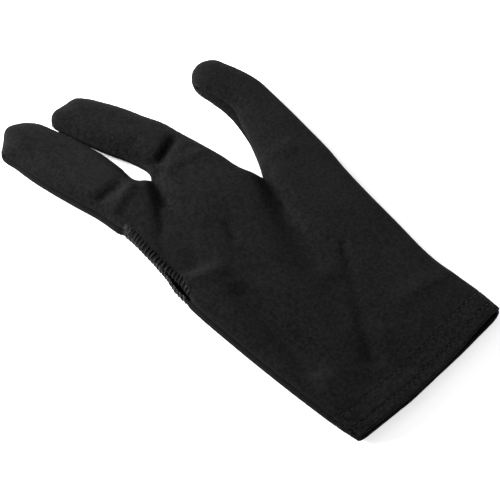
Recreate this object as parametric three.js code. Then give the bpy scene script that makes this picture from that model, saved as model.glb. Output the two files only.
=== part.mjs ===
// Three-finger cue-hand glove: thumb, index and middle finger closed, the ring
// and little fingers leave through one side opening. It lies on its palm with
// the back of the hand upward. Millimetres, +Y to the fingertips, +X to the
// thumb, +Z up, origin under the middle of the box on the table.
import * as THREE from 'three';

// ---------------------------------------------------------------- sizes (mm)
const KNIT = 1.0;            // thickness of one panel
const HEM_THICK = 1.5;       // turned-up cuff hem, two layers
const HEM_WIDTH = 12.0;      // cuff edge to hem line, first to second HAND row
const GAP = 0.3;             // clearance between neighbouring pieces
const EDGE_GAP = 0.7;        // clearance along the overlocked edge, which bends
const ROOT_GAP = 0.45;       // clearance where a finger leaves the hand, along the finger
const EDGE_THICK = 1.5;      // overlocked edge, full thickness
const EDGE_PROUD = 0.25;     // how far the overlocking stands over the panel
const TOP_ROUND = 11.0;      // width over which the back panel rolls to the seam
const TOP_POWER = 2.2;       // fullness of that roll
const LOW_ROUND = 4.5;       // width over which the palm panel rises to the seam
const LOW_BULGE = 1.1;       // how far the palm panel swells out under the seam
const CUFF_OVERHANG = { left: 1.6, right: 0.6, from: -20, to: 30 };   // upper cuff edge past the lower one
const BLEND = 16.0;          // reach of a crown site
const CENTRE = { x: 14.193, y: 12.602 };   // middle of the plan box before centring

// Hand from cuff edge to thumb crotch. l = little-finger side edge, m = line
// between middle and index, i = line between index and thumb, r = thumb side
// edge; lz and rz are the heights of the sewn edge there.
const HAND = [
  { lx: -56.5, ly: -96.8, lz: 4.2, mx: -27.0, my: -101.4, ix: 6.0, iy: -104.0, rx: 32.0, ry: -105.2, rz: 4.6 },
  { lx: -56.0, ly: -84.8, lz: 4.2, mx: -25.6, my: -89.4, ix: 7.5, iy: -92.0, rx: 35.0, ry: -93.3, rz: 4.4 },
  { lx: -53.7, ly: -64.8, lz: 4.2, mx: -22.5, my: -65.7, ix: 10.8, iy: -66.6, rx: 39.5, ry: -67.4, rz: 3.6 },
  { lx: -50.8, ly: -45.0, lz: 4.2, mx: -18.9, my: -45.0, ix: 15.3, iy: -45.0, rx: 47.0, ry: -45.4, rz: 3.3 },
  { lx: -47.5, ly: -25.2, lz: 4.2, mx: -14.4, my: -24.3, ix: 20.7, iy: -24.3, rx: 53.6, ry: -26.0, rz: 3.2 },
  { lx: -44.1, ly: -7.2, lz: 4.2, mx: -10.8, my: -4.5, ix: 26.1, iy: -4.5, rx: 60.2, ry: -8.4, rz: 3.2 },
  { lx: -40.5, ly: 7.1, lz: 4.2, mx: -7.2, my: 10.8, ix: 30.6, iy: 9.9, rx: 66.4, ry: 5.9, rz: 3.2 },
  { lx: -35.7, ly: 17.3, lz: 4.2, mx: -4.5, my: 21.6, ix: 35.6, iy: 19.8, rx: 71.3, ry: 19.5, rz: 3.1 },
];
// Knuckles, up to the crotch between middle and index (last mx, my).
const KNUCKLE = [
  { lx: -31.6, ly: 29.0, lz: 4.2, mx: -1.8, my: 32.4, rx: 33.2, ry: 29.6, rz: 2.8 },
  { lx: -29.3, ly: 40.1, lz: 4.2, mx: 0.9, my: 43.2, rx: 34.2, ry: 41.4, rz: 3.0 },
  { lx: -28.0, ly: 51.3, lz: 4.2, mx: 4.0, my: 57.6, rx: 34.7, ry: 54.0, rz: 3.0 },
];
// Fingers, a row per section from root to tip.
const MIDDLE = [
  { lx: -27.0, ly: 61.2, lz: 4.2, rx: -0.7, ry: 62.0, rz: 3.2 },
  { lx: -27.2, ly: 73.8, lz: 4.2, rx: 1.3, ry: 72.8, rz: 3.2 },
  { lx: -27.2, ly: 86.4, lz: 4.2, rx: 3.0, ry: 85.5, rz: 3.2 },
  { lx: -26.8, ly: 99.0, lz: 4.2, rx: 2.9, ry: 99.0, rz: 3.2 },
  { lx: -25.4, ly: 110.6, lz: 4.0, rx: 2.0, ry: 111.6, rz: 3.2 },
  { lx: -24.5, ly: 119.4, lz: 3.8, rx: 0.7, ry: 120.9, rz: 3.3 },
];
const MIDDLE_TIP = [
  { x: -18.2, y: 125.6, z: 3.6 }, { x: -10.5, y: 130.7, z: 3.5 }, { x: -3.6, y: 127.2, z: 3.4 },
];
const INDEX = [
  { lx: 7.7, ly: 62.6, lz: 3.0, rx: 34.9, ry: 65.7, rz: 3.0 },
  { lx: 7.9, ly: 73.8, lz: 3.0, rx: 35.3, ry: 75.6, rz: 3.0 },
  { lx: 6.2, ly: 83.7, lz: 3.0, rx: 33.6, ry: 85.4, rz: 3.0 },
  { lx: 4.9, ly: 94.5, lz: 3.0, rx: 32.1, ry: 96.2, rz: 3.0 },
  { lx: 4.4, ly: 105.3, lz: 3.0, rx: 29.7, ry: 106.0, rz: 3.0 },
  { lx: 4.5, ly: 116.3, lz: 3.2, rx: 26.7, ry: 114.5, rz: 3.2 },
];
const INDEX_TIP = [
  { x: 9.7, y: 120.7, z: 3.4 }, { x: 16.5, y: 120.1, z: 3.5 }, { x: 23.2, y: 119.0, z: 3.4 },
];
// The thumb's seam climbs its inner side near the tip, where the palm panel
// swells out past it (swell).
const THUMB = [
  { lx: 42.7, ly: 28.2, lz: 2.4, rx: 76.6, ry: 34.4, rz: 3.0, swell: 0 },
  { lx: 49.9, ly: 38.2, lz: 2.6, rx: 81.0, ry: 47.7, rz: 3.0, swell: 0 },
  { lx: 55.8, ly: 47.4, lz: 3.4, rx: 84.2, ry: 58.3, rz: 3.0, swell: 1.2 },
  { lx: 61.0, ly: 56.0, lz: 5.0, rx: 84.9, ry: 68.4, rz: 3.2, swell: 3.4 },
  { lx: 62.9, ly: 66.9, lz: 5.8, rx: 84.2, ry: 77.2, rz: 3.4, swell: 3.2 },
  { lx: 62.9, ly: 79.0, lz: 5.2, rx: 83.1, ry: 83.7, rz: 3.6, swell: 0.9 },
];
const THUMB_TIP = [
  { x: 67.8, y: 86.0, z: 4.0 }, { x: 75.1, y: 88.5, z: 3.8 }, { x: 79.9, y: 86.9, z: 3.7 },
];
const CROTCH_Z = { middleIndex: 3.2, indexThumb: 2.6 };

// Side opening for the ring and little fingers, a row per station along the
// little-finger edge: width of the overlocked strip, how far the upper and the
// lower edge sit inside the edge line, and their heights.
const MOUTH = [
  { u: 5.3, width: 0.0, topIn: 0.0, topZ: 4.3, lowIn: 0.0, lowZ: 4.1 },
  { u: 5.55, width: 1.3, topIn: 1.3, topZ: 4.7, lowIn: -0.4, lowZ: 3.8 },
  { u: 6.05, width: 3.1, topIn: 1.8, topZ: 5.7, lowIn: -0.8, lowZ: 3.2 },
  { u: 6.7, width: 3.1, topIn: 0.3, topZ: 6.7, lowIn: -0.7, lowZ: 2.1 },
  { u: 7.4, width: 3.1, topIn: -2.1, topZ: 7.4, lowIn: -0.9, lowZ: 1.2 },
  { u: 8.2, width: 3.1, topIn: -2.6, topZ: 7.3, lowIn: -0.9, lowZ: 1.3 },
  { u: 9.0, width: 3.1, topIn: -1.1, topZ: 6.2, lowIn: -0.1, lowZ: 1.9 },
  { u: 9.6, width: 1.6, topIn: 0.4, topZ: 4.9, lowIn: 0.1, lowZ: 3.4 },
  { u: 9.85, width: 0.0, topIn: 0.0, topZ: 4.35, lowIn: 0.0, lowZ: 4.05 },
];

// Heights the back of the glove is filled to, blended between sites.
const CROWN = [
  { x: -45, y: -97, z: 7.7 }, { x: -10, y: -100, z: 7.4 }, { x: 22, y: -102, z: 9.9 },
  { x: -42, y: -60, z: 9.6 }, { x: -5, y: -60, z: 9.4 }, { x: 30, y: -62, z: 9.8 },
  { x: -35, y: -20, z: 10.4 }, { x: 0, y: -20, z: 10.2 }, { x: 40, y: -20, z: 11.0 },
  { x: -25, y: 15, z: 10.4 }, { x: 10, y: 15, z: 10.4 }, { x: 50, y: 15, z: 11.0 },
  { x: -18, y: 40, z: 10.4 }, { x: 18, y: 40, z: 10.6 }, { x: -14, y: 60, z: 9.8 },
  { x: -13, y: 90, z: 9.0 }, { x: -12, y: 115, z: 8.6 }, { x: 18, y: 65, z: 9.6 },
  { x: 20, y: 90, z: 9.0 }, { x: 18, y: 110, z: 8.6 }, { x: 62, y: 30, z: 10.6 },
  { x: 72, y: 55, z: 9.8 }, { x: 75, y: 75, z: 9.2 },
];
// Folds of the back: from, to, reach to the left and right at the start, how
// much wider at the end, depth at either end (negative stands up).
const FOLDS = [
  { x0: 5, y0: 57, x1: -29, y1: 12, left: 4.4, right: 4.2, grow: 2.5, d0: 4.0, d1: 3.2 },
  { x0: 35, y0: 19, x1: 4, y1: -31, left: 3.6, right: 5.6, grow: 2.4, d0: 4.4, d1: 2.2 },
  { x0: -2, y0: -44, x1: -9, y1: -62, left: 9, right: 9, grow: 1.2, d0: 1.3, d1: 0.4 },
  { x0: -29, y0: -18, x1: -41, y1: -62, left: 6, right: 7.5, grow: 1.3, d0: 1.7, d1: 3.2 },
  { x0: 13, y0: 59.5, x1: 25, y1: 62.5, left: 4, right: 4, grow: 1, d0: 2.4, d1: 2.0 },
  { x0: -21, y0: 64.5, x1: -12, y1: 64, left: 4.5, right: 4.5, grow: 1, d0: 1.8, d1: 1.4 },
  { x0: -8, y0: 59, x1: -25, y1: 54.5, left: 4, right: 4, grow: 1, d0: -0.9, d1: -0.9 },
  { x0: 12, y0: 52.5, x1: 26, y1: 48, left: 4, right: 4, grow: 1, d0: -0.7, d1: -0.5 },
  { x0: -38, y0: 5, x1: -25, y1: -2, left: 6, right: 6, grow: 1.1, d0: -1.3, d1: -1.4 },
  { x0: 52, y0: 18, x1: 52, y1: 18.5, left: 6.5, right: 6.5, grow: 1, d0: -1.1, d1: -1.1 },
  { x0: 10, y0: -72, x1: 36, y1: -79, left: 6, right: 6, grow: 1, d0: -0.6, d1: -0.6 },
  { x0: 19, y0: -35, x1: -23, y1: -80, left: 2.4, right: 2.4, grow: 2.6, d0: 0.7, d1: 1.3 },
];

// Rows along the hand and fingers and columns across a strip, in table steps.
const HEM_SPLIT = GAP / 2 / HEM_WIDTH;
const HAND_STEPS = [1 + HEM_SPLIT, 1.6, 2.3, 3, 3.7, 4.4, 5, 5.3, 5.55, 5.8, 6.05, 6.4, 6.7, 7];
const KNUCKLE_STEPS = [7.4, 7.8, 8.2, 8.6, 9, 9.3, 9.6, 9.85, 10];
const ROOT_STEP = 0.6;        // a finger's own panel starts this far past its crotch
const FINGER_STEPS = [ROOT_STEP, 1.2, 1.8, 2.5, 3.3, 4.1, 5, 5.25, 5.5, 5.7, 5.87, 6];
const HEM_STEPS = [0, 0.35, 0.7, 1 - HEM_SPLIT];
const EDGE_STEPS = [5.55, 5.8, 6.05, 6.4, 6.7, 7, 7.4, 7.8, 8.2, 8.6, 9, 9.3, 9.6];
const ACROSS = [0, 0.035, 0.1, 0.21, 0.35, 0.5, 0.65, 0.79, 0.9, 0.965, 1];

// ------------------------------------------------------------------- helpers
const clamp = (t, a = 0, b = 1) => Math.min(b, Math.max(a, t));
const smooth = (t) => { const k = clamp(t); return k * k * (3 - 2 * k); };
const lerp = (a, b, t) => a + (b - a) * t;
const roll = (d, reach, power) => (1 - (1 - clamp(d / reach)) ** power) ** (1 / power);

function table(rows, key, value, u) {
  if (u <= rows[0][key]) return rows[0][value];
  for (let k = 1; k < rows.length; k++) {
    if (u <= rows[k][key]) {
      const t = (u - rows[k - 1][key]) / (rows[k][key] - rows[k - 1][key]);
      return lerp(rows[k - 1][value], rows[k][value], t);
    }
  }
  return rows[rows.length - 1][value];
}

// A smooth plan line through table points; u counts in points.
function line(points) {
  const curve = new THREE.CatmullRomCurve3(
    points.map((p) => new THREE.Vector3(p[0], p[1], 0)), false, 'centripetal');
  const last = points.length - 1;
  const at = (u) => { const v = curve.getPoint(clamp(u / last)); return [v.x, v.y]; };
  const height = (u) => {
    const k = Math.min(last - 1, Math.max(0, Math.floor(u)));
    return lerp(points[k][2], points[k + 1][2], clamp(u - k));
  };
  return { at, height, last };
}

// -------------------------------------------------------------- sewn outline
const left = (rows) => rows.map((r) => [r.lx, r.ly, r.lz]);
const right = (rows) => rows.map((r) => [r.rx, r.ry, r.rz]);
const tip = (rows) => rows.map((r) => [r.x, r.y, r.z]);
const back = (list) => list.slice().reverse();
const crotchMI = [KNUCKLE[2].mx, KNUCKLE[2].my, CROTCH_Z.middleIndex];
const crotchIT = [HAND[7].ix, HAND[7].iy, CROTCH_Z.indexThumb];

const outlineM = line([...left(HAND), ...left(KNUCKLE), ...left(MIDDLE), ...tip(MIDDLE_TIP),
  ...back(right(MIDDLE)), crotchMI]);
const outlineI = line([crotchMI, ...left(INDEX), ...tip(INDEX_TIP), ...back(right(INDEX)),
  ...back(right(KNUCKLE)), crotchIT]);
const outlineT = line([crotchIT, ...left(THUMB), ...tip(THUMB_TIP), ...back(right(THUMB)),
  ...back(right(HAND))]);
const lineMI = line([...HAND, ...KNUCKLE].map((r) => [r.mx, r.my, 0]));
const lineIT = line(HAND.map((r) => [r.ix, r.iy, 0]));

const mouthFrom = MOUTH[0].u;
const mouthTo = MOUTH[MOUTH.length - 1].u;

// What the sewn edge does at u along an outline.
function edgeAt(outline, u) {
  const z = outline.height(u);
  const e = { top: z + GAP / 2, low: z - GAP / 2, topIn: 0, lowIn: 0, swell: 0 };
  if (outline === outlineM) {
    const open = u > mouthFrom && u < mouthTo;
    if (open) {
      e.top = table(MOUTH, 'u', 'topZ', u);
      e.low = table(MOUTH, 'u', 'lowZ', u);
      e.topIn = table(MOUTH, 'u', 'topIn', u);
      e.lowIn = table(MOUTH, 'u', 'lowIn', u);
    }
    const closed = open ? 1 - smooth(Math.min(u - mouthFrom, mouthTo - u) / 0.3) : 1;
    e.swell = LOW_BULGE * (1 - smooth((u - 15.5) / 2.5)) * closed;
  } else if (outline === outlineT) {
    e.swell = 0.5 * LOW_BULGE * smooth((u - 9) / 4);
    const k = Math.floor(u) - 1;   // THUMB rows stand at u = 1, 2, ...
    const swellAt = (row) => (THUMB[row] ? THUMB[row].swell : 0);
    e.swell += lerp(swellAt(k), swellAt(k + 1), u - Math.floor(u));
  }
  return e;
}

const edgeParts = [];
for (const outline of [outlineM, outlineI, outlineT]) {
  const n = outline.last * 8;
  for (let k = 0; k < n; k++) {
    const u0 = (k * outline.last) / n;
    const u1 = ((k + 1) * outline.last) / n;
    const a = outline.at(u0);
    const b = outline.at(u1);
    const len = Math.hypot(b[0] - a[0], b[1] - a[1]);
    edgeParts.push({ a, b, ea: edgeAt(outline, u0), eb: edgeAt(outline, u1),
      nx: -(b[1] - a[1]) / len, ny: (b[0] - a[0]) / len });
  }
}

// Nearest place on the sewn edge: distance, its heights and the way out.
function nearEdge(x, y) {
  let best = null;
  let bestD = Infinity;
  let bestT = 0;
  for (const s of edgeParts) {
    const dx = s.b[0] - s.a[0];
    const dy = s.b[1] - s.a[1];
    const t = clamp(((x - s.a[0]) * dx + (y - s.a[1]) * dy) / (dx * dx + dy * dy));
    const d = Math.hypot(x - s.a[0] - dx * t, y - s.a[1] - dy * t);
    if (d < bestD) { bestD = d; best = s; bestT = t; }
  }
  const cx = lerp(best.a[0], best.b[0], bestT);
  const cy = lerp(best.a[1], best.b[1], bestT);
  const w = clamp(bestD / 0.6);
  const ox = lerp(best.nx, (cx - x) / Math.max(bestD, 1e-6), w);
  const oy = lerp(best.ny, (cy - y) / Math.max(bestD, 1e-6), w);
  const len = Math.hypot(ox, oy);
  const e = { d: bestD, ox: ox / len, oy: oy / len };
  for (const k of ['top', 'low', 'topIn', 'lowIn', 'swell']) e[k] = lerp(best.ea[k], best.eb[k], bestT);
  return e;
}

// ------------------------------------------------------------ height of back
function crownHeight(x, y) {
  let sum = 0;
  let weight = 0;
  for (const c of CROWN) {
    const w = Math.exp(-((x - c.x) ** 2 + (y - c.y) ** 2) / (2 * BLEND * BLEND)) + 1e-12;
    sum += w * c.z;
    weight += w;
  }
  let z = sum / weight;
  for (const f of FOLDS) {
    const dx = f.x1 - f.x0;
    const dy = f.y1 - f.y0;
    const len = Math.hypot(dx, dy);
    const t = clamp(((x - f.x0) * dx + (y - f.y0) * dy) / (len * len));
    const vx = x - f.x0 - dx * t;
    const vy = y - f.y0 - dy * t;
    const side = (dx * vy - dy * vx) / len;
    const reach = lerp(f.right, f.left, smooth(side / (f.left + f.right) + 0.5)) * lerp(1, f.grow, t);
    z -= lerp(f.d0, f.d1, t) * Math.exp((-2 * (vx * vx + vy * vy)) / (reach * reach));
  }
  return z;
}

const overhang = (x) => lerp(CUFF_OVERHANG.left, CUFF_OVERHANG.right,
  smooth((x - CUFF_OVERHANG.from) / (CUFF_OVERHANG.to - CUFF_OVERHANG.from)));

// Outer surface of the back (side 1) or the palm (side -1) over a plan point.
function surface(side, x, y, u, onEdge) {
  const e = nearEdge(x, y);
  const d = onEdge ? 0 : e.d;
  const pull = 1 - smooth(d / 14);
  if (side > 0) {
    const r = roll(d, TOP_ROUND, TOP_POWER);
    const z = e.top + (Math.max(crownHeight(x, y), e.top + 1) - e.top) * r;
    return [x - e.ox * e.topIn * pull,
      y - e.oy * e.topIn * pull - overhang(x) * smooth(1 - u / 1.6) * r, z];
  }
  const s = 1 - roll(d, LOW_ROUND, 2);
  const out = e.swell * 4 * s * (1 - s) - e.lowIn * pull;
  return [x + e.ox * out, y + e.oy * out, e.low * s];
}

// ---------------------------------------------------------------- plan grids
// One strip runs up the hand into each finger; v goes from its little-finger
// side to its thumb side, and the last rows bend into the fingertip.
const STRIPS = {
  middle: { tip: 16,
    left: (u) => outlineM.at(u), right: (u) => (u <= 10 ? lineMI.at(u) : outlineM.at(36 - u)),
    arc: (v) => outlineM.at(16 + 4 * v), sewnLeft: () => true, sewnRight: (u) => u >= 10 },
  index: { tip: 16,
    left: (u) => (u <= 10 ? lineMI.at(u) : outlineI.at(u - 10)),
    right: (u) => (u <= 7 ? lineIT.at(u) : outlineI.at(26 - u)),
    arc: (v) => outlineI.at(6 + 4 * v), sewnLeft: (u) => u >= 10, sewnRight: (u) => u >= 7 },
  thumb: { tip: 13,
    left: (u) => (u <= 7 ? lineIT.at(u) : outlineT.at(u - 7)), right: (u) => outlineT.at(23 - u),
    arc: (v) => outlineT.at(6 + 4 * v), sewnLeft: (u) => u >= 7, sewnRight: () => true },
};

function planPoint(strip, u, v) {
  const a = strip.left(u);
  const b = strip.right(u);
  const w = smooth((u - (strip.tip - 1.8)) / 1.8);
  const p = [lerp(a[0], b[0], v), lerp(a[1], b[1], v)];
  if (w > 0) {
    const c = strip.arc(v);
    const c0 = strip.arc(0);
    const c1 = strip.arc(1);
    p[0] += w * (c[0] - lerp(c0[0], c1[0], v));
    p[1] += w * (c[1] - lerp(c0[1], c1[1], v));
  }
  return p;
}

// Share of the middle strip that the overlocked edge takes at u.
function edgeShare(u, extra = 0) {
  const w = u > mouthFrom && u < mouthTo ? table(MOUTH, 'u', 'width', u) : 0;
  if (w <= 0) return 0;
  const a = STRIPS.middle.left(u);
  const b = STRIPS.middle.right(u);
  return (w + extra) / Math.hypot(b[0] - a[0], b[1] - a[1]);
}

// ------------------------------------------------------------ solid building
class Cloth {
  constructor() {
    this.points = [];
    this.index = new Map();
    this.faces = [];
    this.thick = [];
    this.normal = [];
  }

  add(p, thick, normal = null) {
    const key = p.map((c) => Math.round(c * 2e3)).join(',');
    if (!this.index.has(key)) {
      this.index.set(key, this.points.length);
      this.points.push(p);
      this.thick.push(thick);
      this.normal.push(normal);
    }
    return this.index.get(key);
  }

  grid(rows, flip) {
    for (let i = 0; i + 1 < rows.length; i++) {
      for (let j = 0; j + 1 < rows[i].length; j++) {
        const q = [rows[i][j], rows[i][j + 1], rows[i + 1][j + 1], rows[i + 1][j]];
        if (flip) q.reverse();
        for (const f of [[q[0], q[1], q[2]], [q[0], q[2], q[3]]]) {
          if (f[0] !== f[1] && f[1] !== f[2] && f[2] !== f[0]) this.faces.push(f);
        }
      }
    }
  }

  // Closes the sheet: the inner face lies `thick` under the outer one, and the
  // rim of a sewn edge is kept level.
  solid(levelRim, proud = 0) {
    const n = this.points.length;
    const normals = this.points.map(() => new THREE.Vector3());
    const edges = new Map();
    for (const f of this.faces) {
      const [a, b, c] = f.map((k) => new THREE.Vector3(...this.points[k]));
      const normal = new THREE.Vector3().crossVectors(b.clone().sub(a), c.clone().sub(a));
      const area = normal.length();
      if (area > 0) normal.multiplyScalar(1 / Math.sqrt(area));
      for (const k of f) normals[k].add(normal);
      for (let k = 0; k < 3; k++) edges.set(`${f[k]},${f[(k + 1) % 3]}`, [f[k], f[(k + 1) % 3]]);
    }
    const rim = [...edges.values()].filter(([a, b]) => !edges.has(`${b},${a}`));
    for (let k = 0; k < n; k++) {
      if (levelRim.has(k)) normals[k].z = 0;
      if (this.normal[k]) normals[k].copy(this.normal[k]);
      normals[k].normalize();
    }
    const outer = this.points.map((p, k) => new THREE.Vector3(...p).addScaledVector(normals[k], proud));
    const inner = this.points.map((p, k) => new THREE.Vector3(...p)
      .addScaledVector(normals[k], proud - this.thick[k]));
    const position = [];
    for (const p of [...outer, ...inner]) position.push(p.x - CENTRE.x, p.y - CENTRE.y, p.z);
    const faces = [];
    for (const [a, b, c] of this.faces) faces.push(a, b, c, n + c, n + b, n + a);
    for (const [a, b] of rim) faces.push(b, a, n + a, b, n + a, n + b);
    const geometry = new THREE.BufferGeometry();
    geometry.setAttribute('position', new THREE.Float32BufferAttribute(position, 3));
    geometry.setIndex(faces);
    geometry.computeVertexNormals();
    return geometry;
  }
}

// Each panel stands as its hand and its three fingers, parted near the roots.
const fingerRows = (root) => FINGER_STEPS.map((step) => root + step);
const PARTS = {
  hand: [
    { strip: 'middle', rows: [...HAND_STEPS, ...KNUCKLE_STEPS, 10 + ROOT_STEP], parted: 10 + ROOT_STEP },
    { strip: 'index', rows: [...HAND_STEPS, ...KNUCKLE_STEPS, 10 + ROOT_STEP], parted: 10 + ROOT_STEP },
    { strip: 'thumb', rows: [...HAND_STEPS, 7 + ROOT_STEP], parted: 7 + ROOT_STEP },
  ],
  middle_finger: [{ strip: 'middle', rows: fingerRows(10), parted: 10 + ROOT_STEP, gap: ROOT_GAP }],
  index_finger: [{ strip: 'index', rows: fingerRows(10), parted: 10 + ROOT_STEP, gap: ROOT_GAP }],
  thumb: [{ strip: 'thumb', rows: fingerRows(7), parted: 7 + ROOT_STEP, gap: ROOT_GAP }],
};

// The step that lies gap past u along the finger.
function past(strip, u, v, gap) {
  const a = planPoint(strip, u, v);
  const b = planPoint(strip, u + 0.1, v);
  return u + (0.1 * gap) / Math.hypot(b[0] - a[0], b[1] - a[1]);
}

// Outward normal where two panels part, the same on both of them.
function outward(side, x, y, u, onEdge) {
  if (onEdge) {
    const e = nearEdge(x, y);
    return new THREE.Vector3(e.ox, e.oy, 0);
  }
  const h = 0.2;
  const at = (px, py) => new THREE.Vector3(...surface(side, px, py, u, false));
  const a = at(x + h, y).sub(at(x - h, y));
  const b = at(x, y + h).sub(at(x, y - h));
  return a.cross(b).multiplyScalar(side).normalize();
}

function panel(side, part) {
  const cloth = new Cloth();
  const level = new Set();
  for (const { strip: name, rows: steps, parted, gap = 0 } of PARTS[part]) {
    const strip = STRIPS[name];
    const rows = steps.map((step) => ACROSS.map((v0, j) => {
      const share = name === 'middle' ? edgeShare(step) : 0;
      const v = share + (1 - share) * v0;
      const u = gap > 0 && step === parted ? past(strip, step, v, gap) : step;
      const atTip = u >= strip.tip;
      const sewn = atTip || (j === 0 && strip.sewnLeft(u) && share === 0)
        || (j === ACROSS.length - 1 && strip.sewnRight(u));
      const p = planPoint(strip, u, v);
      const normal = step === parted ? outward(side, ...p, u, sewn) : null;
      const k = cloth.add(surface(side, ...p, u, sewn), KNIT, normal);
      if (sewn) level.add(k);
      return k;
    }));
    cloth.grid(rows, side < 0);
  }
  return cloth.solid(level);
}

function hemBand() {
  const cloth = new Cloth();
  const ring = (u) => {
    const over = [];
    const under = [];
    for (const name of ['middle', 'index', 'thumb']) {
      const strip = STRIPS[name];
      ACROSS.forEach((v, j) => {
        if (name !== 'middle' && j === 0) return;
        const sewn = (name === 'middle' && j === 0) || (name === 'thumb' && j === ACROSS.length - 1);
        const p = planPoint(strip, u, v);
        over.push(cloth.add(surface(1, ...p, u, sewn), HEM_THICK));
        under.push(cloth.add(surface(-1, ...p, u, sewn), HEM_THICK));
      });
    }
    under.reverse();
    return [...over, ...under, over[0]];
  };
  cloth.grid(HEM_STEPS.map(ring), false);
  return cloth.solid(new Set());
}

function edgeStrip(side) {
  const cloth = new Cloth();
  const body = [0.75, 1, 1, 0.8];
  const rows = EDGE_STEPS.map((u) => {
    const full = edgeShare(u, -EDGE_GAP);
    const small = clamp(table(MOUTH, 'u', 'width', u) / 3.5, 0.7, 1);
    return body.map((b, j) => {
      const v = (full * j) / (body.length - 1);
      const p = surface(side, ...planPoint(STRIPS.middle, u, v), u, j === 0);
      return cloth.add(p, EDGE_THICK * b * small);
    });
  });
  cloth.grid(rows, side < 0);
  return cloth.solid(new Set(), side > 0 ? EDGE_PROUD : 0);
}

// --------------------------------------------------------------------- piece
function piece(name, geometry, colour, roughness) {
  const material = new THREE.MeshStandardMaterial({ color: colour, roughness, metalness: 0 });
  const mesh = new THREE.Mesh(geometry, material);
  mesh.name = name;
  return mesh;
}

const glove = new THREE.Group();
glove.name = 'billiard_glove';
glove.add(
  ...Object.keys(PARTS).map((part) => piece(`back_${part}`, panel(1, part), 0x1d1e20, 0.92)),
  ...Object.keys(PARTS).map((part) => piece(`palm_${part}`, panel(-1, part), 0x1b1c1e, 0.92)),
  piece('cuff_hem', hemBand(), 0x1e1f21, 0.92),
  piece('opening_edge_back', edgeStrip(1), 0x2a2b2d, 0.85),
  piece('opening_edge_palm', edgeStrip(-1), 0x2a2b2d, 0.85),
);

export default glove;
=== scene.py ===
# Billiard glove lying on its palm on a pale floor. Metres; the tables are in
# millimetres, in the glove's plan before centring.
import math
import bpy
import numpy as np
from mathutils import Matrix


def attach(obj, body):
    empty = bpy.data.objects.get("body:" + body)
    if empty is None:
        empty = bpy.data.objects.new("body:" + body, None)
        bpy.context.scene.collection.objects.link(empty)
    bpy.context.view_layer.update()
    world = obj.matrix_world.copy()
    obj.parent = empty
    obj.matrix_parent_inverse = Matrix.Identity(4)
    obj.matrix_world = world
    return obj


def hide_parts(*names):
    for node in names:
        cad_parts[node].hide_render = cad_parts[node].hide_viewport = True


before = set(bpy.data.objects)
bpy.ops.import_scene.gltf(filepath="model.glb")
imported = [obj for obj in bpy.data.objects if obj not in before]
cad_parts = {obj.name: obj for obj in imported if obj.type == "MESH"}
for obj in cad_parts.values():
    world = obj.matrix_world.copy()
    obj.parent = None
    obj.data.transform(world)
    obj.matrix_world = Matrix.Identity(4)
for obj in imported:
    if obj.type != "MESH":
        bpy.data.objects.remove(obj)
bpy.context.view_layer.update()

# ------------------------------------------------------------ tables (mm)
# u: l = little-finger side edge (x, y, seam height), m = line between middle and index,
# i = line between index and thumb, r = thumb side edge
HAND = [
    (-56.5, -96.8, 4.2, -27, -101.4, 6, -104, 32, -105.2, 4.6),
    (-56, -84.8, 4.2, -25.6, -89.4, 7.5, -92, 35, -93.3, 4.4),
    (-53.7, -64.8, 4.2, -22.5, -65.7, 10.8, -66.6, 39.5, -67.4, 3.6),
    (-50.8, -45, 4.2, -18.9, -45, 15.3, -45, 47, -45.4, 3.3),
    (-47.5, -25.2, 4.2, -14.4, -24.3, 20.7, -24.3, 53.6, -26, 3.2),
    (-44.1, -7.2, 4.2, -10.8, -4.5, 26.1, -4.5, 60.2, -8.4, 3.2),
    (-40.5, 7.1, 4.2, -7.2, 10.8, 30.6, 9.9, 66.4, 5.9, 3.2),
    (-35.7, 17.3, 4.2, -4.5, 21.6, 35.6, 19.8, 71.3, 19.5, 3.1),
]
KNUCKLE = [
    (-31.6, 29, 4.2, -1.8, 32.4, 33.2, 29.6, 2.8), (-29.3, 40.1, 4.2, 0.9, 43.2, 34.2, 41.4, 3),
    (-28, 51.3, 4.2, 4, 57.6, 34.7, 54, 3),
]
MIDDLE = [
    (-27, 61.2, 4.2, -0.7, 62, 3.2), (-27.2, 73.8, 4.2, 1.3, 72.8, 3.2), (-27.2, 86.4, 4.2, 3, 85.5, 3.2),
    (-26.8, 99, 4.2, 2.9, 99, 3.2), (-25.4, 110.6, 4, 2, 111.6, 3.2), (-24.5, 119.4, 3.8, 0.7, 120.9, 3.3),
]
MIDDLE_TIP = [
    (-18.2, 125.6, 3.6), (-10.5, 130.7, 3.5), (-3.6, 127.2, 3.4),
]
INDEX = [
    (7.7, 62.6, 3, 34.9, 65.7, 3), (7.9, 73.8, 3, 35.3, 75.6, 3), (6.2, 83.7, 3, 33.6, 85.4, 3),
    (4.9, 94.5, 3, 32.1, 96.2, 3), (4.4, 105.3, 3, 29.7, 106, 3), (4.5, 116.3, 3.2, 26.7, 114.5, 3.2),
]
INDEX_TIP = [
    (9.7, 120.7, 3.4), (16.5, 120.1, 3.5), (23.2, 119, 3.4),
]
# the last column is how far the palm panel swells out past the seam
THUMB = [
    (42.7, 28.2, 2.4, 76.6, 34.4, 3, 0), (49.9, 38.2, 2.6, 81, 47.7, 3, 0),
    (55.8, 47.4, 3.4, 84.2, 58.3, 3, 1.2), (61, 56, 5, 84.9, 68.4, 3.2, 3.4),
    (62.9, 66.9, 5.8, 84.2, 77.2, 3.4, 3.2), (62.9, 79, 5.2, 83.1, 83.7, 3.6, 0.9),
]
THUMB_TIP = [
    (67.8, 86, 4), (75.1, 88.5, 3.8), (79.9, 86.9, 3.7),
]
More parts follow.
